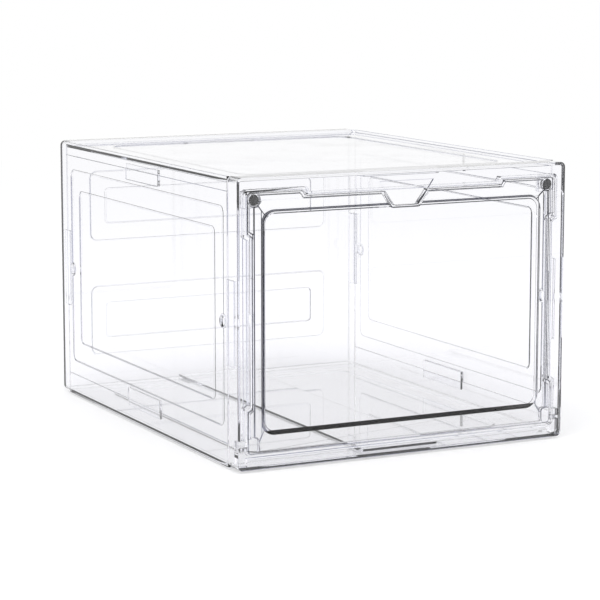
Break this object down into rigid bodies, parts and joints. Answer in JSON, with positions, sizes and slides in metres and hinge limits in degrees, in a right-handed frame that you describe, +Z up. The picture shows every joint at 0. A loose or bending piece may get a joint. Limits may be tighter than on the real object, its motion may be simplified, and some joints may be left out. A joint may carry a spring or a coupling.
{
  "type": "stacking shoe box",
  "caption": "Clear stacking shoe box of snap-together panels with a drop-down front door, a finger notch and magnetic corner catches.",
  "frame": {"origin": "middle of the underside, in the plane of the foot ring that the box stands on", "axes": "+X to the right seen from the door, +Y from the door to the back, +Z up"},
  "size_m": [0.28, 0.355, 0.218],
  "materials": {
    "clear_body": "clear moulded plastic, polished",
    "clear_door": "clear moulded plastic, polished",
    "magnet": "dark plated disc, satin"
  },
  "bodies": {
    "cabinet": {"front_frame": "clear_body", "back_panel": "clear_body", "left_side_panel": "clear_body", "right_side_panel": "clear_body", "top_panel": "clear_body", "bottom_panel": "clear_body", "frame_magnet_left": "magnet", "frame_magnet_right": "magnet"},
    "door_leaf": {"door": "clear_door", "door_magnet_left": "magnet", "door_magnet_right": "magnet"}
  },
  "joints": [
    {"name": "door_hinge", "type": "hinge", "parent": "cabinet", "child": "door_leaf", "pos_m": [0, -0.17425, 0.0175], "axis": [1, 0, 0], "range_deg": [0, 90]}
  ]
}
